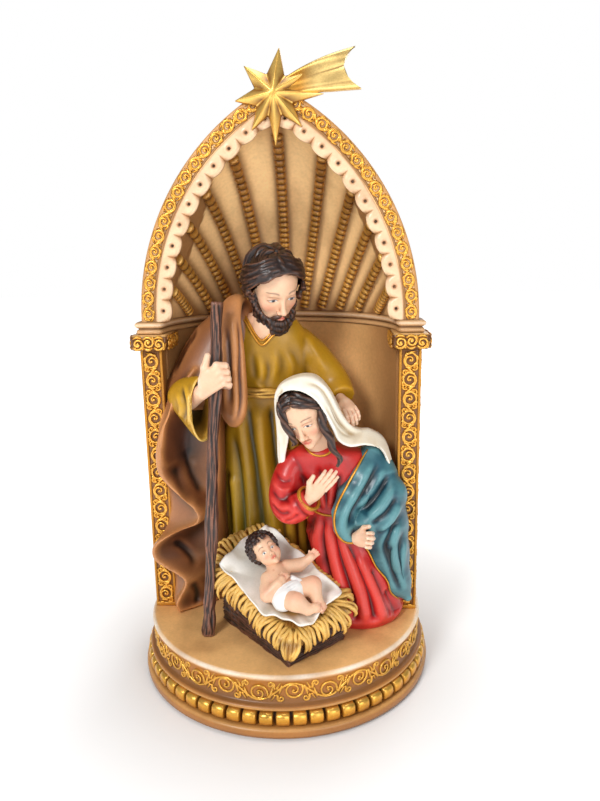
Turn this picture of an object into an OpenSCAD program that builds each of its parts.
// Holy family dome scene: a painted cast ornament. A round base carries a domed niche with a comet
// star, a standing figure with a staff, a kneeling figure, and a manger whose infant lifts out.
// Millimetres, +Z up, the viewer on the -Y side, origin on the floor under the middle of the base.

/* [Base] */
// Radius of the foot slab
foot_r = 97.5; // [97.5:0.5:110]
// Height of the base from the floor to its top
base_h = 38; // [34:0.5:46]
// Height of the top of the foot slab
slab_h = 7; // [5:0.5:9]
// Radius of the drum
drum_r = 92; // [90:0.5:93]
// Rounding of the drum's top edge
lip_r = 2; // [1:0.25:3]
// Number of beads round the drum
bead_count = 60; // [40:1:66]
// Radius of a bead's cross section
bead_r = 4.2; // [3:0.1:4.5]
// Gap between neighbouring beads
bead_gap = 1.8; // [1:0.1:3]
// Height of the fillet over the beads
fillet_h = 2.5; // [1.5:0.25:4]
// How far the fillet stands out
fillet_out = 2; // [1:0.25:3]
// Thickness of the hollow casting's wall and top
casting_t = 10; // [8:0.5:12]
// Thickness of the closing plate under the hollow
cover_t = 2; // [1.5:0.25:3]
// Width of the ledge that holds the closing plate
ledge_w = 4; // [2:0.5:5]
// Thickness of the felt pad
felt_t = 1; // [0.8:0.1:2]
// How far the felt stays inside the foot
felt_inset = 4; // [2:0.5:8]

/* [Niche] */
// Inside radius of the niche
niche_r = 75; // [72:0.5:77]
// Thickness of the niche wall
wall_t = 8; // [6:0.5:9]
// How far the niche's front plane lies in front of the middle of the base
niche_front = 14; // [10:0.5:18]
// Width of a pilaster
pilaster_w = 13; // [10:0.5:14]
// Depth of a pilaster
pilaster_d = 12; // [10:0.5:16]
// Height of a pilaster
pilaster_h = 177; // [150:1:200]
// Height of a capital
capital_h = 10; // [8:0.5:14]
// How far a capital stands out past its pilaster
capital_out = 5; // [3:0.5:6]
// Depth of a capital behind the front plane
capital_d = 24; // [16:0.5:28]
// Height of the cornice
cornice_h = 8; // [6:0.5:10]
// How far the cornice stands out
cornice_out = 2.5; // [1.5:0.25:4]

/* [Dome] */
// Height of the arch from the cornice to its point
arch_h = 137; // [120:1:150]
// How far the arch stays inside the pilasters' outer sides
arch_inset = 1.5; // [1:0.25:4]
// Width of the scrolled arch band
arch_band = 9.5; // [7:0.5:11]
// Depth of the arch band
arch_d = 10; // [8:0.5:12]
// Width of the scalloped lining
lining_w = 9; // [7:0.5:11]
// Thickness of the scalloped lining
lining_t = 3; // [2:0.25:4]
// Scallops on each side of the arch
lobe_count = 11; // [8:1:14]
// Radius of the hole in a scallop
lobe_hole_r = 0.9; // [0.6:0.1:1.4]
// Thickness of the dome's shell
dome_t = 11; // [8:0.5:12]
// Ribs on each side of the middle one
rib_pairs = 5; // [3:1:6]
// Radius of a rib
rib_r = 2.4; // [1.8:0.1:3]

/* [Comet] */
// Length of the star's longest point
star_r = 28; // [24:0.5:32]
// Thickness of the star in the middle
star_t = 10; // [7:0.5:13]
// Thickness of the star's points
star_rim = 2.5; // [2:0.25:4]
// Height of the star's middle below the arch's point
star_drop = 7; // [5:0.5:9]
// Length of the comet's tail
tail_l = 50; // [44:1:56]
// Thickness of the tail
tail_t = 5; // [4:0.5:7]
// Radius of the pin that holds the star
star_pin_r = 2; // [1.5:0.25:2.5]

/* [Figures] */
// Height of the standing figure
standing_h = 242; // [225:1:250]
// Height of the kneeling figure
kneeling_h = 162; // [150:1:170]
// Height of the staff
staff_h = 208; // [190:1:215]
// Radius of the staff
staff_r = 3.8; // [3:0.1:4.5]

/* [Manger] */
// Width of the crate
crate_w = 45; // [40:0.5:46]
// Length of the crate
crate_l = 70; // [62:0.5:71]
// Thickness of the crate's walls and floor
crate_t = 4; // [3:0.5:6]
// Height of the crate's rim at its middle
crate_h = 27; // [24:0.5:32]
// Thickness of the straw over the rim
straw_t = 5; // [4:0.25:7]
// How far the straw hangs out over the crate
straw_over = 4.5; // [3:0.5:6]
// Thickness of the cloth on the straw
cloth_t = 2.4; // [1.5:0.1:3]

/* [Fits] */
// Clearance between pieces that are glued or laid together
fit = 0.3; // [0.2:0.05:0.5]
// Radius of the pegs under the niche and the figures
peg_r = 2.5; // [2:0.1:3]
// Depth of a peg in each of the two pieces that it joins
peg_depth = 6; // [4:0.5:7]

/* [Hidden] */
$fn = 64;
far = 400;

// Heights of the base's parts
bead_z = slab_h + bead_r + 2 * fit;
fillet_z = bead_z + bead_r + 2 * fit;
hollow_r = drum_r - casting_t;
ledge_r = hollow_r + ledge_w;
ledge_z = felt_t + cover_t;

// Places in the niche: its axis lies in its front plane
niche_y = -niche_front;
pilaster_x = niche_r + pilaster_w;
capital_z = base_h + pilaster_h;
cornice_z = capital_z + capital_h;
spring_z = cornice_z + cornice_h;
peg_circle_r = niche_r + wall_t / 2;

// The pointed arch: each side is an arc about a centre past the middle
arch_w = pilaster_x - arch_inset;
arc_x = (arch_h * arch_h - arch_w * arch_w) / (2 * arch_w);
arc_r = arch_w + arc_x;
frame_in_r = arc_r - arch_band;
lining_out_r = frame_in_r - fit;
dome_out_r = arc_r - arch_inset;
dome_in_r = dome_out_r - dome_t;
lobe_arc_r = lining_out_r - lining_w / 2;
lobe_turn = acos(arc_x / lobe_arc_r);
lobe_r = lobe_arc_r * lobe_turn * PI / 180 / lobe_count * 0.56;
lining_recess = 2;
rib_seat_r = dome_in_r - rib_r - fit;
rib_front = arch_d + rib_r + fit;

// Star: angle of each point, and its length as a share of the longest
star_turns = [-4, 30, 82, 137, 191, 236, 271, 312];
star_reach = [0.97, 1, 0.91, 0.7, 0.73, 0.77, 1, 0.88];
star_waist = 0.38;
star_z = spring_z + arch_h - star_drop;

// The figures are drawn at these heights and then sized
standing_drawn_h = 242;
kneeling_drawn_h = 162;
standing_scale = standing_h / standing_drawn_h;
kneeling_scale = kneeling_h / kneeling_drawn_h;

// The manger stands turned, with its bed tipped towards the viewer
crate_turn = 42;
crate_corner = [7, -83];
bed_tip = [22, -11];
bed_middle = crate_corner + (crate_w / 2) * [cos(crate_turn), sin(crate_turn)]
    + (crate_l / 2) * [-sin(crate_turn), cos(crate_turn)];
cloth_z = straw_t + fit;
seat_z = cloth_z + cloth_t;

// Peg places on top of the base
robe_peg = [-16, 26];
dress_peg = [52, -10];
peg_turns = [50, 90, 130];

// Colours
tan_paint = [0.80, 0.64, 0.43];
gold_paint = [0.78, 0.57, 0.20];
bronze_paint = [0.50, 0.34, 0.14];
cream_paint = [0.93, 0.85, 0.76];
skin_paint = [0.92, 0.76, 0.65];
hair_paint = [0.16, 0.10, 0.09];
olive_paint = [0.62, 0.50, 0.12];
brown_paint = [0.42, 0.26, 0.17];
wood_paint = [0.20, 0.14, 0.12];
red_paint = [0.70, 0.12, 0.12];
teal_paint = [0.14, 0.38, 0.44];
veil_paint = [0.94, 0.91, 0.83];
straw_paint = [0.84, 0.65, 0.30];

// Point and path helpers
function unit(v) = v / norm(v);
function tangent(p, i) = unit(p[min(i + 1, len(p) - 1)] - p[max(i - 1, 0)]);
function bend(a, b, c, d, t) =
    ((2 * b) + (c - a) * t + (2 * a - 5 * b + 4 * c - d) * t * t + (3 * b - a - 3 * c + d) * t * t * t) / 2;
// A smooth run of rows through the given ones, with a number of steps between each two
function smooth(p, steps) = [
    for (i = [0 : len(p) - 2], s = [0 : steps - 1])
        bend(p[max(i - 1, 0)], p[i], p[i + 1], p[min(i + 2, len(p) - 1)], s / steps),
    p[len(p) - 1]
];
// An upright ring: row is [height, middle x, middle y, half width, half depth, fold depth]
function drape_ring(row, sides, folds, grow) = [
    for (i = [0 : sides - 1])
        let (a = 360 * i / sides, swell = 1 + row[5] * cos(folds * a + row[0]))
        [row[1] + (row[3] * swell + grow) * cos(a), row[2] + (row[4] * swell + grow) * sin(a), row[0]]
];
// A ring square to a path: row is [x, y, z, half width, half height]
function limb_ring(row, way, sides, grow) =
    let (side = unit(cross(abs(way[2]) > 0.9 ? [0, -1, 0] : [0, 0, 1], way)), rise = cross(way, side))
    [for (i = [0 : sides - 1])
        let (a = 360 * i / sides)
        [row[0], row[1], row[2]] + side * (row[3] + grow) * cos(a) + rise * (row[4] + grow) * sin(a)];
function place(row) = [row[0], row[1], row[2]];
function round_trip(p, steps) =
    let (n = len(p))
    [for (i = [0 : n - 1]) for (s = [0 : steps - 1])
        bend(p[(i + n - 1) % n], p[i], p[(i + 1) % n], p[(i + 2) % n], s / steps)];
// A ring round a hanging fold: from behind the figure, round the free edge and through the hollow
function fall_ring(row, steps, grow) =
    let (
        x = row[1],
        y = row[2],
        ring = round_trip([[-44, 20], [max(row[3], -72) + 6, 7], [row[3], y + 14], [x - 1.2, y + 4.5], [x, y],
            [x + 3.5, y + 3.2], [row[4], row[5]], [-43, -2]], steps),
        n = len(ring)
    )
    [for (i = [0 : n - 1])
        let (way = unit(ring[(i + 1) % n] - ring[(i + n - 1) % n]))
        [ring[i][0] + grow * way[1], ring[i][1] - grow * way[0], row[0]]];
// The arch's half width at a height over the cornice
function arch_half(r, z) = sqrt(max(r * r - z * z, 0)) - arc_x;

// A closed skin through rings of points
module skin(rings) {
    n = len(rings[0]);
    m = len(rings);
    sides = [for (j = [0 : m - 2], i = [0 : n - 1])
        let (a = j * n + i, b = j * n + (i + 1) % n) each [[b + n, b, a], [a + n, b + n, a]]];
    ends = [for (i = [1 : n - 2]) each
        [[i, i + 1, 0], [(m - 1) * n + i + 1, (m - 1) * n + i, (m - 1) * n]]];
    polyhedron(points = [for (r = rings) each r], faces = concat(sides, ends));
}

// A hanging form with folds, through rows from the bottom up
module drape(rows, sides, folds, steps, grow = 0) {
    run = smooth(rows, steps);
    skin([for (row = run) drape_ring(row, sides, folds, grow)]);
}

// A limb, sleeve or strip along a path
module limb(rows, sides, steps, grow = 0) {
    run = smooth(rows, steps);
    path = [for (row = run) place(row)];
    skin([for (i = [0 : len(run) - 1]) limb_ring(run[i], tangent(path, i), sides, grow)]);
}

// An egg with its three half sizes
module egg(middle, half, sides, grow = 0) {
    bands = sides / 2;
    skin([for (j = [0 : bands])
        let (t = -86 + 172 * j / bands)
        [for (i = [0 : sides - 1])
            let (a = 360 * i / sides)
            middle + [(half[0] + grow) * cos(t) * cos(a), (half[1] + grow) * cos(t) * sin(a),
                (half[2] + grow) * sin(t)]]]);
}

// One skin from several overlapping ones
module as_one_skin() {
    resize([0, 0, 0]) children();
}

// Places
module at_niche() {
    translate([0, niche_y, 0]) children();
}
module as_standing() {
    translate([0, 0, base_h]) scale(standing_scale) children();
}
module as_kneeling() {
    translate([0, 0, base_h]) scale(kneeling_scale) children();
}
module on_crate() {
    translate([crate_corner[0], crate_corner[1], base_h]) rotate([0, 0, crate_turn]) children();
}
module on_bed() {
    translate([bed_middle[0], bed_middle[1], base_h + crate_h])
        rotate([bed_tip[0], bed_tip[1], crate_turn]) children();
}
module on_arch(depth, behind) {
    translate([0, niche_y + behind + depth, spring_z]) rotate([90, 0, 0]) linear_extrude(depth) children();
}
module both_sides() {
    children();
    mirror([1, 0, 0]) children();
}

// Everything in front of the niche or inside it
module niche_room() {
    at_niche() cylinder(r = niche_r - fit, h = far);
    translate([-far, niche_y - fit - far, 0]) cube([2 * far, far, far]);
}

// Base
module base_profile() {
    translate([0, felt_t]) square([foot_r - lip_r, slab_h - felt_t]);
    translate([0, felt_t]) square([foot_r, slab_h - felt_t - lip_r]);
    translate([foot_r - lip_r, slab_h - lip_r]) circle(lip_r);
    translate([0, felt_t]) square([drum_r, base_h - felt_t - lip_r]);
    translate([0, felt_t]) square([drum_r - lip_r, base_h - felt_t]);
    translate([drum_r - lip_r, base_h - lip_r]) circle(lip_r);
    translate([0, fillet_z]) square([drum_r + fillet_out, fillet_h]);
}
module base_plinth() {
    color(tan_paint) difference() {
        rotate_extrude() difference() {
            base_profile();
            translate([drum_r, bead_z]) circle(bead_r + fit);
            square([hollow_r, base_h - casting_t]);
            square([ledge_r, ledge_z]);
        }
        niche_peg_set(fit / 2, peg_depth + fit);
        figure_peg_set(fit / 2, peg_depth + fit);
    }
}
module gadroon_beads() {
    turn = 360 / bead_count;
    gap_turn = bead_gap / drum_r * 180 / PI;
    color(gold_paint)
    for (i = [0 : bead_count - 1])
        rotate([0, 0, i * turn]) rotate_extrude(angle = turn - gap_turn)
            translate([drum_r, bead_z]) circle(bead_r);
}
module base_cover_plate() {
    color(wood_paint) translate([0, 0, felt_t]) cylinder(r = ledge_r - fit, h = cover_t);
}
module felt_pad() {
    color([0.15, 0.25, 0.18]) cylinder(r = foot_r - felt_inset, h = felt_t);
}

// Pegs: half in the base, half in what stands on it
module peg(grow, depth) {
    translate([0, 0, base_h - depth]) cylinder(r = peg_r + grow, h = 2 * depth);
}
module niche_peg_set(grow, depth) {
    at_niche() {
        for (a = peg_turns) translate([peg_circle_r * cos(a), peg_circle_r * sin(a), 0]) peg(grow, depth);
        both_sides() translate([niche_r + pilaster_w / 2, pilaster_d / 2, 0]) peg(grow, depth);
    }
}
module figure_peg_set(grow, depth) {
    for (p = [robe_peg, dress_peg, bed_middle])
        translate([p[0], p[1], 0]) peg(grow, min(depth, peg_depth + fit));
}
module niche_pegs() {
    color(wood_paint) niche_peg_set(0, peg_depth);
}
module figure_pegs() {
    color(wood_paint)
    for (p = [robe_peg, dress_peg, bed_middle])
        translate([p[0], p[1], base_h - peg_depth]) cylinder(r = peg_r, h = peg_depth + crate_t - 2 * fit);
}

// Niche
module capital_block() {
    translate([niche_r - capital_out, niche_y - capital_out, capital_z])
        cube([pilaster_w + 2 * capital_out, capital_d + capital_out, capital_h]);
}
module niche_wall() {
    color(tan_paint) difference() {
        at_niche() rotate_extrude(angle = 180) translate([niche_r, base_h])
            square([wall_t, cornice_z - base_h]);
        translate([-far, niche_y - 1, 0]) cube([2 * far, pilaster_d + 1, far]);
        both_sides() capital_block();
        niche_peg_set(fit / 2, peg_depth + fit);
    }
}
module pilaster() {
    difference() {
        translate([niche_r, niche_y, base_h]) cube([pilaster_w, pilaster_d, pilaster_h]);
        niche_peg_set(fit / 2, peg_depth + fit);
    }
}
module left_pilaster() {
    color(gold_paint) mirror([1, 0, 0]) pilaster();
}
module right_pilaster() {
    color(gold_paint) pilaster();
}
module left_capital() {
    color(gold_paint) mirror([1, 0, 0]) capital_block();
}
module right_capital() {
    color(gold_paint) capital_block();
}
// Plan of one fillet of the cornice, which stands out by the given amount
module cornice_plan(out) {
    difference() {
        union() {
            intersection() {
                circle(niche_r + wall_t);
                translate([-far, 0]) square([2 * far, far]);
            }
            both_sides() translate([niche_r - out, -out]) square([pilaster_w + 2 * out, pilaster_d + out]);
        }
        circle(niche_r - out);
    }
}
module cornice_moulding() {
    color(tan_paint) at_niche() {
        translate([0, 0, cornice_z]) linear_extrude(cornice_h / 2) cornice_plan(cornice_out / 2);
        translate([0, 0, cornice_z + cornice_h / 2]) linear_extrude(cornice_h / 2) cornice_plan(cornice_out);
    }
}

// Dome and arch
module pointed_half(r) {
    intersection() {
        translate([-arc_x, 0]) circle(r);
        square([far, far]);
    }
}
module pointed(r) {
    both_sides() pointed_half(r);
}
module half_dome() {
    color(tan_paint) difference() {
        translate([0, niche_y, spring_z]) rotate_extrude(angle = 180) difference() {
            pointed_half(dome_out_r);
            pointed_half(dome_in_r);
        }
        translate([-far, niche_y - 1, 0]) cube([2 * far, arch_d + 1, 2 * far]);
    }
}
// A rib runs straight, seen from the front, from the cornice to the arch
function rib_path(k, steps) =
    let (
        foot_x = 0.84 * niche_r * k / rib_pairs,
        top_z = arch_h * (0.86 - 0.146 * 5 * max(k, 0.35) / rib_pairs),
        low_z = rib_r + fit,
        top_x = k == 0 ? 0 : sqrt(pow(arch_half(rib_seat_r, top_z), 2) - rib_front * rib_front)
    )
    [for (s = [0 : steps])
        let (
            t = s / steps,
            x = foot_x + (top_x - foot_x) * t,
            z = low_z + (top_z - low_z) * t,
            half = arch_half(rib_seat_r, z)
        )
        [x, niche_y + sqrt(max(half * half - x * x, rib_front * rib_front)), spring_z + z, rib_r, rib_r]];
module dome_ribs() {
    color(bronze_paint) {
        limb(rib_path(0, 12), 6, 1);
        both_sides() for (k = [1 : rib_pairs]) limb(rib_path(k, 12), 6, 1);
    }
}
module arch_band_frame() {
    color(gold_paint) difference() {
        on_arch(arch_d, 0) difference() {
            pointed(arc_r);
            pointed(frame_in_r);
        }
        star_pin_shape(fit / 2);
    }
}
module lobe_places() {
    both_sides() for (i = [0 : lobe_count - 1])
        let (a = lobe_turn * (i + 0.5) / lobe_count)
        translate([lobe_arc_r * cos(a) - arc_x, lobe_arc_r * sin(a)]) children();
}
module scalloped_lining() {
    color(cream_paint) on_arch(lining_t, lining_recess) difference() {
        intersection() {
            pointed(lining_out_r);
            union() {
                difference() {
                    pointed(lining_out_r);
                    pointed(lobe_arc_r);
                }
                lobe_places() circle(lobe_r);
            }
        }
        lobe_places() circle(lobe_hole_r);
    }
}

// Comet
module star() {
    n = len(star_turns);
    rim = [for (i = [0 : n - 1])
        let (a = star_turns[i], b = i == n - 1 ? star_turns[0] + 360 : star_turns[i + 1], m = (a + b) / 2)
        each [star_r * star_reach[i] * [cos(a), sin(a)], star_r * star_waist * [cos(m), sin(m)]]];
    k = len(rim);
    points = concat(
        [for (p = rim) [p[0], p[1], 0]],
        [for (p = rim) [p[0], p[1], star_rim]],
        [[0, 0, 0], [0, 0, star_t]]
    );
    faces = [for (i = [0 : k - 1])
        let (j = (i + 1) % k)
        each [[i, j, 2 * k], [j, i, i + k], [j, i + k, j + k], [j + k, i + k, 2 * k + 1]]];
    polyhedron(points = points, faces = faces);
}
module tail() {
    linear_extrude(tail_t) difference() {
        polygon([[0, 5], [0.3 * tail_l, 0.27 * tail_l], [0.93 * tail_l, 0.48 * tail_l],
            [tail_l, 0.01 * tail_l], [0.35 * tail_l, 0], [0, -5]]);
        translate([1.13 * tail_l, 0.28 * tail_l]) circle(0.24 * tail_l);
    }
}
module comet_star() {
    color(gold_paint) difference() {
        translate([0, niche_y, star_z]) rotate([90, 0, 0]) {
            star();
            tail();
        }
        star_pin_shape(fit / 2);
    }
}
module star_pin_shape(grow) {
    translate([0, niche_y + peg_depth + grow, star_z]) rotate([90, 0, 0])
        cylinder(r = star_pin_r + grow, h = peg_depth + star_t / 2 + 2 * grow);
}
module star_pin() {
    color(wood_paint) star_pin_shape(0);
}

// Standing figure
robe_rows = [
    [0, -16, 25, 38, 24, 0.05], [40, -16, 24, 35, 22, 0.05], [80, -15, 23, 32, 20, 0.04],
    [120, -14, 22, 28, 19, 0.03], [142, -13, 20, 26, 18, 0.015], [152, -13, 19, 27, 18, 0],
    [166, -14, 18, 32, 19, 0], [180, -15, 16, 32, 17, 0], [190, -15, 14, 27, 14, 0], [200, -11, 11, 14, 11, 0]
];
belt_rows = [[142, -13, 20, 28.5, 20.5, 0], [145, -13, 19.8, 29.5, 21.5, 0], [148, -13, 19.5, 28.5, 20.5, 0]];
cloak_rows = [
    [138, -56, 2, 22, 18, 0], [150, -52, 2, 26, 21, 0], [170, -46, 7, 23, 20, 0], [186, -39, 10, 20, 17, 0],
    [197, -33, 11, 14, 13, 0], [206, -27, 11, 6, 7, 0]
];
// Height, place of the hanging edge, reach of the outer side and place of the hollow behind the edge
cloak_fall_rows = [
    [0, -70, -26, -75.5, -55, -14], [8, -71.5, -27, -75.5, -56, -14], [19, -66, -28, -74.5, -53, -14],
    [26, -65.5, -28, -75, -53, -14], [33, -76, -27, -78, -58, -11], [39, -83.5, -27, -82, -61, -9],
    [46.5, -85, -27, -83.5, -63, -9], [53, -80, -27, -80.5, -61, -9], [60, -68, -27, -78, -55, -10],
    [65.5, -56.5, -28, -76.5, -50, -14], [72.4, -55, -28, -75, -49, -14], [81, -63, -27, -75.5, -53, -10],
    [90, -72, -26, -77, -57, -6], [99, -78, -26, -79, -61, -4], [109, -78.5, -26, -79.5, -62, -3],
    [126, -75, -25, -78, -61, -3], [139, -70.5, -24, -75, -58, -4], [150, -66, -22, -72, -56, -6],
    [158, -60, -20, -66, -52, -6], [166, -54, -16, -60, -48, -6]
];
cloak_front_rows = [
    [-30, 1, 209, 3, 2.4], [-31.5, -5, 196, 7, 5], [-32, -9, 180, 9.8, 6], [-31, -11, 156, 10.8, 6.4],
    [-31, -11.5, 140, 10.6, 6.2], [-31, -11.5, 131, 7, 4.6], [-31, -11.5, 126.5, 3, 2.4]
];
right_sleeve_rows = [
    [-42, 8, 178, 12, 12], [-56, -2, 160, 12, 13], [-63, -12, 146, 11, 15], [-57, -24, 143, 9, 18],
    [-50, -31, 143, 9, 20]
];
left_sleeve_rows = [[4, 18, 182, 11, 11], [20, 21, 166, 12, 12], [34, 18, 148, 11, 11], [43, 8, 136, 9, 9]];
right_hand_rows = [
    [-52, -27, 150, 5, 5], [-47, -31, 155, 7, 6], [-41, -32, 161, 8, 9], [-36, -31, 163, 5, 6]
];
left_hand_rows = [[42, 7, 137, 5, 5], [46, -2, 137, 6, 5], [50, -10, 132, 6, 4], [53, -15, 126, 3, 2]];
staff_rows = [
    [-43.3, -49.7, 0, 1.2, 1.2], [-42, -46, 0.13, 1, 1], [-40.5, -42, 0.33, 0.95, 0.95],
    [-40.5, -35, 0.55, 1, 1], [-38.5, -29, 0.77, 0.95, 0.95], [-37, -22.5, 1, 0.9, 0.9]
];
head_middle = [-5, 4, 215];
head_half = [19, 21, 25];
beard_middle = [-1, -9, 197];
beard_half = [11, 10, 11];

module robe_form(grow = 0) {
    drape(robe_rows, 32, 8, 2, grow);
}
module standing_robe() {
    color(olive_paint) as_one_skin() difference() {
        intersection() {
            as_standing() robe_form();
            niche_room();
        }
        on_crate_room();
        figure_peg_set(fit, peg_depth);
        as_standing() belt_form(fit);
    }
}
module belt_form(grow = 0) {
    difference() {
        drape(belt_rows, 28, 1, 1, grow);
        drape([for (r = belt_rows)
            [r[0], r[1], r[2], r[3] - 3, r[4] - 3, 0] + [(r[0] - 145) * 1.2, 0, 0, 0, 0, 0]], 28, 1, 1, -grow);
    }
}
module standing_belt() {
    color(gold_paint) as_one_skin() as_standing() difference() {
        belt_form();
        cloak_front_form(fit);
        cloak_form(fit);
    }
}
module right_sleeve_form(grow = 0) {
    limb(right_sleeve_rows, 18, 3, grow);
}
module standing_right_sleeve() {
    color(olive_paint) as_one_skin() intersection() {
        as_standing() difference() {
            right_sleeve_form();
            robe_form(fit);
            staff_form(fit);
            right_hand_form(fit);
        }
        niche_room();
    }
}
module left_sleeve_form(grow = 0) {
    limb(left_sleeve_rows, 16, 3, grow);
}
module standing_left_sleeve() {
    color(olive_paint) as_one_skin() difference() {
        as_standing() difference() {
            left_sleeve_form();
            robe_form(fit);
            left_hand_form(fit);
        }
        as_kneeling() {
            veil_form(fit);
            mantle_form(fit);
        }
    }
}
module cloak_form(grow = 0) {
    drape(cloak_rows, 22, 1, 2, grow);
    skin([for (row = cloak_fall_rows) fall_ring(row, 3, grow)]);
}
module cloak_front_form(grow = 0) {
    limb(cloak_front_rows, 12, 2, grow);
}
module standing_cloak() {
    color(brown_paint) as_one_skin() difference() {
        intersection() {
            as_standing() {
                cloak_form();
                cloak_front_form();
            }
            niche_room();
        }
        as_standing() {
            robe_form(fit);
            right_sleeve_form(fit);
            right_hand_form(fit);
            staff_form(fit);
            head_form(fit);
        }
        mirror([1, 0, 0]) capital_block();
        on_crate_room();
    }
}
module head_form(grow = 0) {
    egg(head_middle, head_half, 24, grow);
    limb([[-10, 10, 192, 9, 9], [-8, 8, 205, 9, 9]], 16, 2, grow);
}
module beard_form(grow = 0) {
    egg(beard_middle, beard_half, 18, grow);
}
module standing_head() {
    color(hair_paint) as_one_skin() as_standing() difference() {
        head_form();
        robe_form(fit);
    }
}
module standing_beard() {
    color(hair_paint) as_one_skin() as_standing() difference() {
        beard_form();
        head_form(fit);
        robe_form(fit);
    }
}
module right_hand_form(grow = 0) {
    limb(right_hand_rows, 14, 3, grow);
}
module standing_right_hand() {
    color(skin_paint) as_one_skin() as_standing() difference() {
        right_hand_form();
        staff_form(fit);
    }
}
module left_hand_form(grow = 0) {
    limb(left_hand_rows, 14, 3, grow);
}
module standing_left_hand() {
    color(skin_paint) as_one_skin() difference() {
        as_standing() left_hand_form();
        as_kneeling() {
            veil_form(fit);
            mantle_form(fit);
        }
    }
}
module staff_form(grow = 0) {
    limb([for (r = staff_rows) [r[0], r[1], r[2] * staff_h, r[3] * staff_r, r[4] * staff_r]], 10, 3, grow);
}
module staff() {
    color(wood_paint) as_one_skin() as_standing() intersection() {
        staff_form();
        translate([-far, -far, 0]) cube(2 * far);
    }
}

// Kneeling figure
dress_rows = [
    [0, 50, -12, 29, 30, 0.05], [12, 50, -12, 29, 30, 0.05], [32, 47, -11, 27, 27, 0.05],
    [52, 42, -10, 25, 23, 0.03], [72, 36, -12, 22, 18, 0.01], [87, 34, -14, 23, 18, 0],
    [102, 32, -17, 25, 17, 0], [112, 30, -19, 23, 15, 0], [120, 26, -22, 15, 12, 0], [126, 22, -24, 9, 9, 0]
];
dress_sleeve_rows = [
    [10, -18, 108, 9, 9], [3, -24, 90, 10, 10], [1, -30, 74, 10, 10], [9, -38, 75, 8, 9], [17, -43, 82, 7, 8]
];
mantle_rows = [
    [14, 74, -24, 10, 5, 0], [24, 70, -21, 15, 11, 0.04], [38, 66, -18, 18, 16, 0.04],
    [52, 62, -19, 20, 20, 0.03], [66, 60, -21, 20, 24, 0.02], [80, 59, -20, 17, 22, 0.02],
    [95, 57, -17, 15, 19, 0], [108, 55, -15, 13, 15, 0],
    [117, 53, -13, 8, 10, 0]
];
veil_rows = [
    [98, 33, -6, 34.4, 12, 0.04], [112, 31, -9, 33, 17, 0.04], [122, 27, -15, 28, 20, 0.02],
    [132, 21, -23, 21.5, 21, 0],
    [146, 17.5, -28, 20, 21.5, 0], [156, 17.5, -28, 15.5, 17, 0], [162, 17.5, -28, 6, 7, 0]
];
veil_opening_y = -38;
kneeling_head_middle = [16.5, -31, 140];
kneeling_head_half = [15.5, 17.5, 19];
kneeling_right_hand_rows = [
    [16, -42, 82, 4, 4], [20, -43, 90, 5.5, 4.5], [25, -42, 98, 6, 4], [30, -40, 105, 4, 3]
];
kneeling_left_hand_rows = [
    [58, -40, 64, 4, 4], [56, -47, 62, 5.5, 4.5], [53, -54, 64, 6, 4.5], [50, -59, 67, 4, 3]
];

module dress_form(grow = 0) {
    drape(dress_rows, 32, 8, 2, grow);
    limb(dress_sleeve_rows, 16, 3, grow);
}
module kneeling_dress() {
    color(red_paint) as_one_skin() difference() {
        intersection() {
            as_kneeling() dress_form();
            niche_room();
        }
        as_standing() robe_form(fit);
        on_crate_room();
        as_kneeling() kneeling_right_hand_form(fit);
        figure_peg_set(fit, peg_depth);
    }
}
module mantle_form(grow = 0) {
    drape(mantle_rows, 24, 6, 2, grow);
}
module kneeling_mantle() {
    color(teal_paint) as_one_skin() difference() {
        intersection() {
            as_kneeling() mantle_form();
            niche_room();
        }
        as_kneeling() {
            dress_form(fit);
            kneeling_left_hand_form(fit);
            veil_form(fit);
        }
        as_standing() robe_form(fit);
        on_crate_room();
    }
}
module veil_form(grow = 0) {
    difference() {
        drape(veil_rows, 24, 6, 2, grow);
        translate([-far, veil_opening_y - grow - far, 0]) cube([2 * far, far, far]);
    }
}
module kneeling_veil() {
    color(veil_paint) as_one_skin() difference() {
        as_kneeling() difference() {
            veil_form();
            kneeling_head_form(fit);
            limb([[25, -25, 109, 10.6, 10.6], [18, -29, 131, 10.6, 10.6]], 12, 1);
            dress_form(fit);
        }
        as_standing() {
            robe_form(fit);
            belt_form(fit);
        }
    }
}
module kneeling_head_form(grow = 0) {
    egg(kneeling_head_middle, kneeling_head_half, 24, grow);
    limb([[23, -24, 116, 6.5, 6.5], [19, -28, 130, 6.5, 6.5]], 14, 2, grow);
}
module kneeling_head() {
    color(skin_paint) as_one_skin() as_kneeling() difference() {
        kneeling_head_form();
        dress_form(fit);
    }
}
module kneeling_right_hand_form(grow = 0) {
    limb(kneeling_right_hand_rows, 12, 3, grow);
}
module kneeling_right_hand() {
    color(skin_paint) as_one_skin() as_kneeling() kneeling_right_hand_form();
}
module kneeling_left_hand_form(grow = 0) {
    limb(kneeling_left_hand_rows, 12, 3, grow);
}
module kneeling_left_hand() {
    color(skin_paint) as_one_skin() as_kneeling() difference() {
        kneeling_left_hand_form();
        dress_form(fit);
    }
}

// Manger
module above_bed() {
    on_bed() translate([-far, -far, 0]) cube(2 * far);
}
module crate_block(inset, floor_z) {
    difference() {
        on_crate() translate([inset, inset, floor_z])
            cube([crate_w - 2 * inset, crate_l - 2 * inset, 2 * crate_h]);
        above_bed();
    }
}
module manger_crate() {
    color(wood_paint) difference() {
        crate_block(0, 0);
        on_crate() translate([crate_t, crate_t, crate_t])
            cube([crate_w - 2 * crate_t, crate_l - 2 * crate_t, far]);
        figure_peg_set(fit / 2, peg_depth);
    }
}
// The crate and its straw, with the clearance that the figures keep from them
module on_crate_room() {
    on_crate() translate([-fit, -fit, -1]) cube([crate_w + 2 * fit, crate_l + 2 * fit, 2 * crate_h]);
    straw_rim(fit);
}
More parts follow.
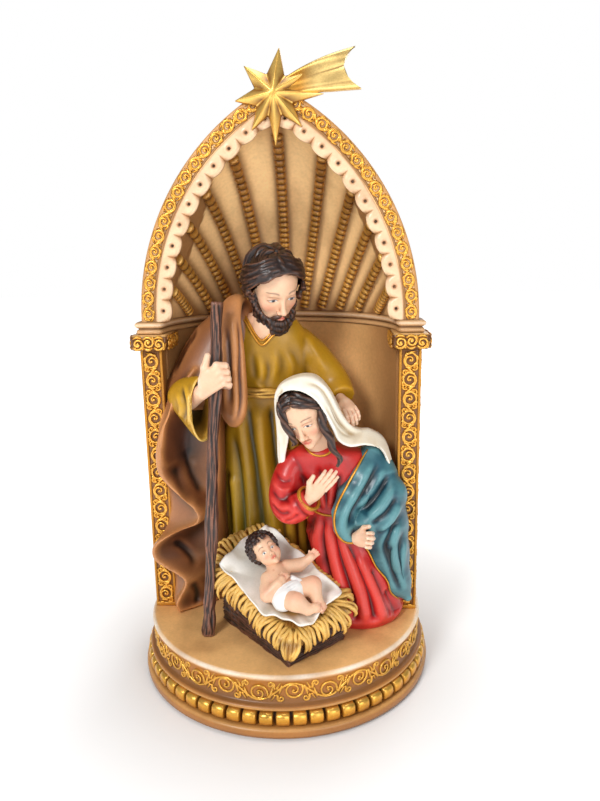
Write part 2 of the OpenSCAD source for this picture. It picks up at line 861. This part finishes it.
// Straw outline at a height: a rounded rectangle with tufts
function straw_ring(out, z, sides, tuft) = [
    for (i = [0 : sides - 1])
        let (
            a = 360 * i / sides,
            c = cos(a),
            s = sin(a),
            half_w = crate_w / 2 + out + tuft * cos(11 * a),
            half_l = crate_l / 2 + out + tuft * cos(11 * a)
        )
        [half_w * sign(c) * pow(abs(c), 0.4), half_l * sign(s) * pow(abs(s), 0.4), z]
];
module straw_rim(grow = 0) {
    on_bed() skin([
        straw_ring(straw_over - 1.5 + grow, fit - grow, 44, 0.5),
        straw_ring(straw_over + grow, 0.5 * straw_t, 44, 0.8),
        straw_ring(straw_over - 1.5 + grow, straw_t + grow, 44, 0.8)
    ]);
}
module straw_bed() {
    color(straw_paint) as_one_skin() {
        straw_rim();
        difference() {
            on_crate() translate([crate_t + fit, crate_t + fit, crate_t + fit])
                cube([crate_w - 2 * (crate_t + fit), crate_l - 2 * (crate_t + fit), 2 * crate_h]);
            on_bed() translate([-far, -far, straw_t / 2]) cube(2 * far);
        }
    }
}
// Cloth outline with a wavy edge
function cloth_ring(share, z, sides) = [
    for (i = [0 : sides - 1])
        let (a = 360 * i / sides, c = cos(a), s = sin(a), wave = 1 + 0.04 * cos(9 * a + 40))
        [share * (crate_w / 2 + 2) * wave * sign(c) * pow(abs(c), 0.5),
            share * (crate_l / 2 + 1) * wave * sign(s) * pow(abs(s), 0.5), z]
];
module cloth_form(grow = 0) {
    skin([
        cloth_ring(0.94, cloth_z - grow, 40), cloth_ring(1, cloth_z + cloth_t / 2, 40),
        cloth_ring(0.94, seat_z + grow, 40)
    ]);
}
module manger_cloth() {
    color(veil_paint) on_bed() cloth_form();
}

// Infant, drawn on the bed with its head at +Y
module infant_head_form(grow = 0) {
    egg([0, 18, seat_z + 9], [8.6, 9.6, 8.6], 20, grow);
}
module loincloth_form(grow = 0) {
    egg([-7, -12, seat_z + 7], [11, 8, 7], 18, grow);
}
module infant_limbs() {
    torso = [[-1, 13, 7, 5, 5], [-3, 5, 7, 9, 6.2], [-6, -4, 7, 8.4, 6.2], [-7, -11, 7, 6, 5]];
    near_arm = [[-10, 5, 7.5, 3.8, 3.8], [-17, -3, 6.5, 3.6, 3.6], [-8, -5, 13, 2.8, 2.8]];
    far_arm = [[3, 5, 8, 3.8, 3.8], [12, 1, 8.5, 3.4, 3.4], [21, -4, 11.5, 2.6, 2.6]];
    near_leg = [[-11, -12, 6.5, 4.8, 4.8], [-9, -20, 9.5, 4.6, 4.6], [-4, -28, 5, 3.4, 3.4]];
    far_leg = [[-2, -12, 6.5, 4.8, 4.8], [8, -18, 9.5, 4.6, 4.6], [6, -27, 5, 3.4, 3.4]];
    translate([0, 0, seat_z]) {
        limb(torso, 16, 2);
        for (rows = [near_arm, far_arm, near_leg, far_leg]) limb(rows, 10, 2);
    }
}
module infant_body() {
    color(skin_paint) as_one_skin() on_bed() difference() {
        infant_limbs();
        infant_head_form(fit);
        loincloth_form(fit);
        translate([-far, -far, seat_z + fit - 2 * far]) cube(2 * far);
    }
}
module infant_head() {
    color(hair_paint) as_one_skin() on_bed() difference() {
        infant_head_form();
        translate([-far, -far, seat_z + fit - 2 * far]) cube(2 * far);
    }
}
module infant_loincloth() {
    color(veil_paint) as_one_skin() on_bed() difference() {
        loincloth_form();
        translate([-far, -far, seat_z + fit - 2 * far]) cube(2 * far);
    }
}

base_plinth();
gadroon_beads();
base_cover_plate();
felt_pad();
niche_wall();
left_pilaster();
right_pilaster();
left_capital();
right_capital();
cornice_moulding();
half_dome();
dome_ribs();
arch_band_frame();
scalloped_lining();
comet_star();
star_pin();
niche_pegs();
figure_pegs();
standing_robe();
standing_belt();
standing_right_sleeve();
standing_left_sleeve();
standing_cloak();
standing_head();
standing_beard();
standing_right_hand();
standing_left_hand();
staff();
kneeling_dress();
kneeling_mantle();
kneeling_veil();
kneeling_head();
kneeling_right_hand();
kneeling_left_hand();
manger_crate();
straw_bed();
manger_cloth();
infant_body();
infant_head();
infant_loincloth();
